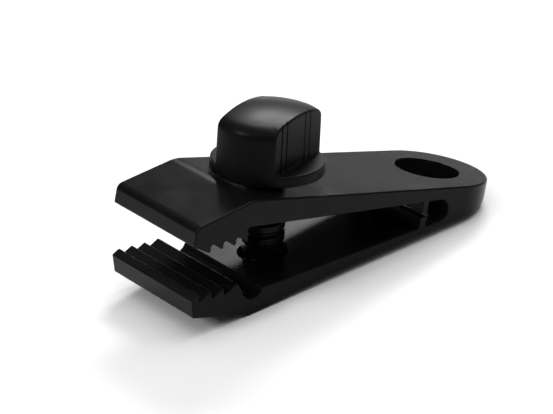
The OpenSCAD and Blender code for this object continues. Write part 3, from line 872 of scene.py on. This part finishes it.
class CLIP_OT_upper_moulding(bpy.types.Operator):
    """Build the eye and the upper arm as one piece"""

    bl_idname = "tarp_clip.upper_moulding"
    bl_label = "Eye and upper arm"

    def execute(self, context):
        s, r = context.scene.moulding_sizes, context.scene.moulding_roundings
        outline = ClipOutline(s, r)
        bottom = carried_across(*outline.eye_bottom())
        upper = carried_across(*outline.upper())
        rear = rear_round(outline)
        parts = strip_and_sides([bottom, upper]) + [(rear, grid_quads(len(rear), rear.shape[1], True))]
        piece = solid("upper_moulding", [(on_part(p), f) for p, f in parts])
        top = np.zeros(HOLE_STEPS)
        turn = full_turn(HOLE_STEPS)
        out = np.stack([np.cos(turn), np.sin(turn)], 1)
        ring = (np.zeros((HOLE_STEPS, 2)), out, s.eye_r)
        eye = hole_cutter("eye_cut", ring, outline.bottom_z(out[:, 0] * s.eye_r), top, r.eye_rim_r)
        # The oval hole's points are turned a little, so that none lies on the line between its halves
        turn = turn + math.radians(1.5)
        out = np.stack([np.cos(turn), np.sin(turn)], 1)
        run = outline.upper_in(s.jaw_reach - s.screw_back) * math.tan(SCREW_LEAN)
        middle = np.stack([s.screw_back - s.jaw_reach + np.where(out[:, 0] > 0, run, 0), 0 * turn], 1)
        low = -outline.upper_in(-middle[:, 0] - out[:, 0] * s.hole_r)
        hole = hole_cutter("screw_cut", (middle, out, s.hole_r), low, top, r.hole_rim_r)
        cut_away(piece, [eye, hole])
        finish_piece(piece, moulding_plastic())
        matt_slot(piece, outline)
        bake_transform(piece)
        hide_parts("eye_end", "upper_arm")
        return {"FINISHED"}


class CLIP_OT_lower_moulding(bpy.types.Operator):
    """Build the lower arm as one piece, with the nut's pocket and cradles"""

    bl_idname = "tarp_clip.lower_moulding"
    bl_label = "Lower arm"

    def execute(self, context):
        s, r = context.scene.moulding_sizes, context.scene.moulding_roundings
        outline = ClipOutline(s, r)
        parts = strip_and_sides([carried_across(*outline.lower())])
        piece = solid("lower_moulding", [(on_part(p), f) for p, f in parts])
        pocket = box_cutter("pocket_cut", outline, s.pocket_l, s.pocket_w, s.pocket_top)
        cradle = box_cutter("cradle_cut", outline, s.cradle_l, s.cradle_w, s.cradle_top)
        hole = pass_cutter("pass_cut", outline)
        cut_away(piece, [pocket, cradle, hole])
        finish_piece(piece, moulding_plastic())
        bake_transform(piece)
        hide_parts("lower_arm")
        return {"FINISHED"}


class CLIP_OT_thumb_knob(bpy.types.Operator):
    """Build the knob: flange, bar grip with grooved flats and crown"""

    bl_idname = "tarp_clip.thumb_knob"
    bl_label = "Thumb knob"

    def execute(self, context):
        k, f = context.scene.screw_sizes, context.scene.finishes
        turn = full_turn(KNOB_STEPS)[None, :] + math.pi / KNOB_STEPS
        t = EDGE_TURN[:, None]
        slope = math.tan(k.grip_draft)
        step = k.flange_r - k.flange_h * slope
        foot = grip_radius(turn, k.flange_h * slope)
        ledge = np.maximum(step - foot, 0)
        lip = np.minimum(k.flange_lip_r, LIP_SHARE * ledge)
        heel = np.minimum(k.grip_heel_r, HEEL_SHARE * ledge)
        rim_z = k.flange_h + k.grip_h
        draw = rim_z * slope
        ball = ((k.flange_r - draw) ** 2 + k.grip_crown ** 2) / (2 * k.grip_crown)

        def crown(r):
            return rim_z + k.grip_crown - ball + np.sqrt(ball ** 2 - r ** 2)

        level = np.ones_like(turn)
        low = k.flange_low_r
        rim = k.grip_round + (k.flat_round - k.grip_round) * flat_share(turn)
        wall_foot = k.flange_h + heel
        wall_top = crown(grip_radius(turn, draw)) - rim
        wall_z = wall_foot + np.linspace(0, 1, KNOB_WALL_ROWS)[1:-1, None] * (wall_top - wall_foot)
        over = grip_radius(turn, draw + rim * (1 - np.cos(t)))
        inner = over[-1:] * np.linspace(1, 0, CROWN_RINGS)[1:, None]
        radius = np.concatenate([
            0 * level,
            (k.flange_r - low * (1 - np.sin(t))) * level,
            step - lip * (1 - np.cos(t)),
            foot + heel * (1 - np.sin(t)),
            grip_radius(turn, wall_z * slope),
            over,
            inner,
        ])
        height = np.concatenate([
            0 * level,
            low * (1 - np.cos(t)) * level,
            k.flange_h - lip * (1 - np.sin(t)),
            k.flange_h + heel * (1 - np.cos(t)),
            wall_z,
            crown(over) - rim * (1 - np.sin(t)),
            crown(inner),
        ])
        piece = wound("thumb_knob", [turned(radius, turn + k.grip_turn, height)])
        finish = moulded_plastic("knob_black", f.knob_black, f.knob_rough, f.knob_gloss)
        finish_piece(piece, finish)
        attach(piece, "thumb_screw")
        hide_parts("knob")
        return {"FINISHED"}


class CLIP_OT_threaded_screw(bpy.types.Operator):
    """Build the screw with its coarse right-hand thread"""

    bl_idname = "tarp_clip.threaded_screw"
    bl_label = "Threaded screw"

    def execute(self, context):
        k = context.scene.screw_sizes
        end = axis_low("screw")
        turn = full_turn(SCREW_STEPS)[None, :]
        z = np.linspace(end, 0, SCREW_ROWS)[:, None]
        radius = np.minimum(thread_radius(turn, z), k.thread_r - k.end_bevel + z - end)
        radius = np.concatenate([0 * turn, radius, 0 * turn])
        z = np.concatenate([[[end]], z, [[0.0]]]) + 0 * turn
        piece = wound("threaded_screw", [turned(radius, turn, z)])
        finish_piece(piece, screw_plastic(), THREAD_CRISP)
        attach(piece, "thumb_screw")
        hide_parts("screw")
        return {"FINISHED"}


class CLIP_OT_swivel_nut(bpy.types.Operator):
    """Build the threaded nut with a pin on each side"""

    bl_idname = "tarp_clip.swivel_nut"
    bl_label = "Swivel nut"

    def execute(self, context):
        k = context.scene.screw_sizes
        pin_z = axis_low("swivel_nut") + k.nut_down
        tilt = math.tan(context.scene.moulding_sizes.arm_spread - SCREW_LEAN)
        turn = full_turn(NUT_STEPS)[None, :]
        t = np.linspace(0, math.pi / 2, NUT_EDGE_STEPS)[:, None]
        edge = k.nut_edge_r

        def block(inset):
            a = (np.abs(np.cos(turn)) / (k.nut_l / 2 - inset)) ** NUT_SHARPNESS
            b = (np.abs(np.sin(turn)) / (k.nut_w / 2 - inset)) ** NUT_SHARPNESS
            return (a + b) ** (-1 / NUT_SHARPNESS)

        def top(r):
            return pin_z + k.nut_up + np.minimum(r * np.cos(turn), 0) * tilt

        def bottom(r):
            return pin_z - k.nut_down + np.maximum(r * np.cos(turn), 0) * tilt

        rise = np.linspace(0, 1, NUT_BORE_ROWS)[:, None]
        bore_r = k.thread_r + k.thread_gap
        bore_z = bottom(bore_r) * (1 - rise) + top(bore_r) * rise
        bore = thread_radius(turn, bore_z) + k.thread_gap
        upper, lower = block(edge * (1 - np.sin(t))), block(edge * (1 - np.cos(t)))
        upper_z = top(upper) - edge * (1 - np.cos(t))
        lower_z = bottom(lower) + edge * (1 - np.sin(t))
        radius = np.concatenate([bore, upper, lower, bore[:1]])
        height = np.concatenate([bore_z, upper_z, lower_z, bore_z[:1]])
        body = turned(radius, turn, height)
        root = k.nut_w / 2 - k.pin_sink
        back = t[::-1]
        y = np.concatenate([[[k.pin_reach]], k.pin_reach - edge * (1 - np.sin(back)), [[root], [root]]])
        pin_r = np.concatenate([[[0.0]], k.pin_r - edge * (1 - np.cos(back)), [[k.pin_r], [0.0]]])
        lap = full_turn(PIN_STEPS)[None, :]
        pin = np.stack([pin_r * np.cos(lap), y + 0 * lap, pin_z + pin_r * np.sin(lap)], -1)
        piece = wound("swivel_nut_block", [body, pin, pin * (1, -1, 1)])
        finish_piece(piece, screw_plastic(), THREAD_CRISP)
        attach(piece, "swivel_nut")
        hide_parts("swivel_nut")
        return {"FINISHED"}


def area_lamp(name, place, aim, width, height, power):
    """A soft panel of light at a place, facing a point."""
    lamp = bpy.data.lights.new(name, "AREA")
    lamp.shape = "RECTANGLE"
    lamp.size, lamp.size_y = width, height
    lamp.energy = power
    panel = bpy.data.objects.new(name, lamp)
    panel.location = place
    panel.rotation_euler = (aim - Vector(place)).to_track_quat("-Z", "Y").to_euler()
    bpy.context.scene.collection.objects.link(panel)


def soft_surround(st):
    """White surround whose strength climbs with height, from dim walls to a bright ceiling."""
    world = bpy.data.worlds.new("surround")
    world.use_nodes = True
    tree = world.node_tree
    way = tree.nodes.new("ShaderNodeTexCoord")
    split = tree.nodes.new("ShaderNodeSeparateXYZ")
    climb = tree.nodes.new("ShaderNodeMapRange")
    climb.interpolation_type = "SMOOTHSTEP"
    preset(climb, {"From Min": WALL_TOP, "From Max": CEILING_EDGE})
    preset(climb, {"To Min": st.wall_light, "To Max": st.ceiling_light})
    back = tree.nodes["Background"]
    preset(back, {"Color": (1, 1, 1, 1)})
    tree.links.new(way.outputs["Generated"], split.inputs["Vector"])
    tree.links.new(split.outputs["Z"], climb.inputs["Value"])
    tree.links.new(climb.outputs["Result"], back.inputs["Strength"])
    return world


def white_floor(st):
    """Square matt floor under the clip."""
    side = np.array([-FLOOR_HALF, FLOOR_HALF])
    x, y = np.meshgrid(side, side)
    points = np.stack([x, y, np.full_like(x, CAD_BOX[0][2])], -1)
    floor = solid("floor", [(points, grid_quads(2, 2))])
    paint = bpy.data.materials.new("floor_white")
    paint.use_nodes = True
    shader = paint.node_tree.nodes["Principled BSDF"]
    preset(shader, {"Base Color": (*st.floor_white, 1), "Roughness": 1.0, "Specular IOR Level": 0.0})
    floor.data.materials.append(paint)
    return floor


def aimed_camera(st, aim):
    """Camera at its bearing, height and distance from the point it looks at, with its roll."""
    level = math.cos(st.elevation)
    x, y = math.sin(st.azimuth) * level, -math.cos(st.azimuth) * level
    back = Vector((x, y, math.sin(st.elevation)))
    lens = bpy.data.cameras.new("camera")
    lens.lens = st.lens
    lens.sensor_width = SENSOR_W
    lens.clip_start, lens.clip_end = 0.01, 50
    camera = bpy.data.objects.new("camera", lens)
    turn = (-back).to_track_quat("-Z", "Y").to_matrix() @ Matrix.Rotation(st.roll, 3, "Z")
    camera.matrix_world = Matrix.Translation(aim + back * st.distance) @ turn.to_4x4()
    return camera


class CLIP_OT_studio(bpy.types.Operator):
    """Set up the pale floor, the soft lights and the camera"""

    bl_idname = "tarp_clip.studio"
    bl_label = "Studio"

    def execute(self, context):
        st = context.scene.studio
        floor = white_floor(st)
        aim = Vector(st.aim)
        for name, place, width, height, watts in PANELS:
            area_lamp(name, place, aim, width, height, watts)
        context.scene.world = soft_surround(st)
        context.scene.view_settings.view_transform = "Standard"
        camera = aimed_camera(st, aim)
        context.scene.collection.objects.link(camera)
        context.scene.camera = camera
        return {"FINISHED"}


class CLIP_PT_panel(bpy.types.Panel):
    """Lists the builders of the clip's pieces"""

    bl_idname = "CLIP_PT_panel"
    bl_label = "Tarp Clip"
    bl_space_type = "VIEW_3D"
    bl_region_type = "UI"
    bl_category = "Tarp Clip"

    def draw(self, context):
        for builder in BUILDERS:
            self.layout.operator(builder.bl_idname)


BUILDERS = (
    CLIP_OT_upper_moulding,
    CLIP_OT_lower_moulding,
    CLIP_OT_thumb_knob,
    CLIP_OT_threaded_screw,
    CLIP_OT_swivel_nut,
    CLIP_OT_studio,
)
GROUPS = {
    "moulding_sizes": MouldingSizes,
    "moulding_roundings": MouldingRoundings,
    "screw_sizes": ScrewSizes,
    "finishes": Finishes,
    "studio": Studio,
}


def register():
    for group in GROUPS.values():
        bpy.utils.register_class(group)
    for name, group in GROUPS.items():
        setattr(bpy.types.Scene, name, PointerProperty(type=group))
    for part in (*BUILDERS, CLIP_PT_panel):
        bpy.utils.register_class(part)


def unregister():
    for part in (CLIP_PT_panel, *reversed(BUILDERS)):
        bpy.utils.unregister_class(part)
    for name, group in reversed(GROUPS.items()):
        delattr(bpy.types.Scene, name)
        bpy.utils.unregister_class(group)


def main():
    """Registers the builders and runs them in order."""
    register()
    bpy.ops.tarp_clip.upper_moulding()
    bpy.ops.tarp_clip.lower_moulding()
    bpy.ops.tarp_clip.thumb_knob()
    bpy.ops.tarp_clip.threaded_screw()
    bpy.ops.tarp_clip.swivel_nut()
    bpy.ops.tarp_clip.studio()


if __name__ == "__main__":
    main()
